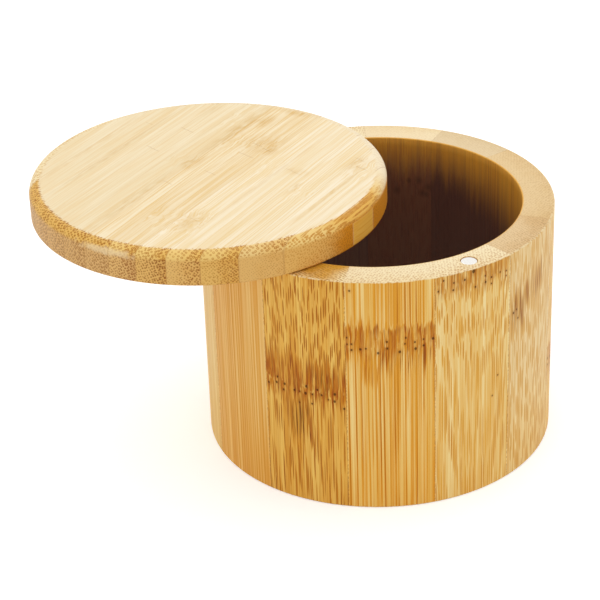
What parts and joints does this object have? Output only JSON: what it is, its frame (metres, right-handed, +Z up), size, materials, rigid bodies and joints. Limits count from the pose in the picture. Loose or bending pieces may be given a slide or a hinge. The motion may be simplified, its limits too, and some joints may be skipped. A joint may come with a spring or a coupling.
{
  "type": "salt box",
  "caption": "Round bamboo salt box with a full-width flat lid that swivels aside on a hidden pin in the rim and is held shut by a pair of small magnets.",
  "frame": {"origin": "centre of the underside, on the surface the box stands on", "axes": "+Z up; -Y is the front, where the rim magnet faces; the lid rests swung open towards -X, as in use. The lid is shut at lid_swivel = +61.9 degrees."},
  "size_m": [0.1304, 0.0906, 0.0717],
  "materials": {
    "wall_bamboo": "sanded smooth and lightly oiled",
    "base_bamboo": "sanded smooth and lightly oiled",
    "lid_bamboo": "sanded smooth and lightly oiled",
    "pin_steel": "drawn steel",
    "bush_brass": "turned",
    "magnet_plating": "nickel plated, satin"
  },
  "bodies": {
    "box": {"stave_01": "wall_bamboo", "stave_02": "wall_bamboo", "stave_03": "wall_bamboo", "stave_04": "wall_bamboo", "stave_05": "wall_bamboo", "stave_06": "wall_bamboo", "stave_07": "wall_bamboo", "stave_08": "wall_bamboo", "stave_09": "wall_bamboo", "stave_10": "wall_bamboo", "stave_11": "wall_bamboo", "stave_12": "wall_bamboo", "stave_13": "wall_bamboo", "base_strip_01": "base_bamboo", "base_strip_02": "base_bamboo", "base_strip_03": "base_bamboo", "base_strip_04": "base_bamboo", "base_strip_05": "base_bamboo", "base_strip_06": "base_bamboo", "base_strip_07": "base_bamboo", "base_strip_08": "base_bamboo", "base_strip_09": "base_bamboo", "base_strip_10": "base_bamboo", "base_strip_11": "base_bamboo", "pivot_pin": "pin_steel", "rim_magnet": "magnet_plating"},
    "lid": {"lid_strip_01": "lid_bamboo", "lid_strip_02": "lid_bamboo", "lid_strip_03": "lid_bamboo", "lid_strip_04": "lid_bamboo", "lid_strip_05": "lid_bamboo", "lid_strip_06": "lid_bamboo", "lid_strip_07": "lid_bamboo", "lid_strip_08": "lid_bamboo", "lid_strip_09": "lid_bamboo", "lid_strip_10": "lid_bamboo", "lid_strip_11": "lid_bamboo", "lid_strip_12": "lid_bamboo", "lid_strip_13": "lid_bamboo", "pivot_bush": "bush_brass", "lid_magnet": "magnet_plating"}
  },
  "joints": [
    {"name": "lid_swivel", "type": "hinge", "parent": "box", "child": "lid", "pos_m": [-0.02221, 0.03381, 0.0633], "axis": [0, 0, 1], "continuous": true}
  ]
}
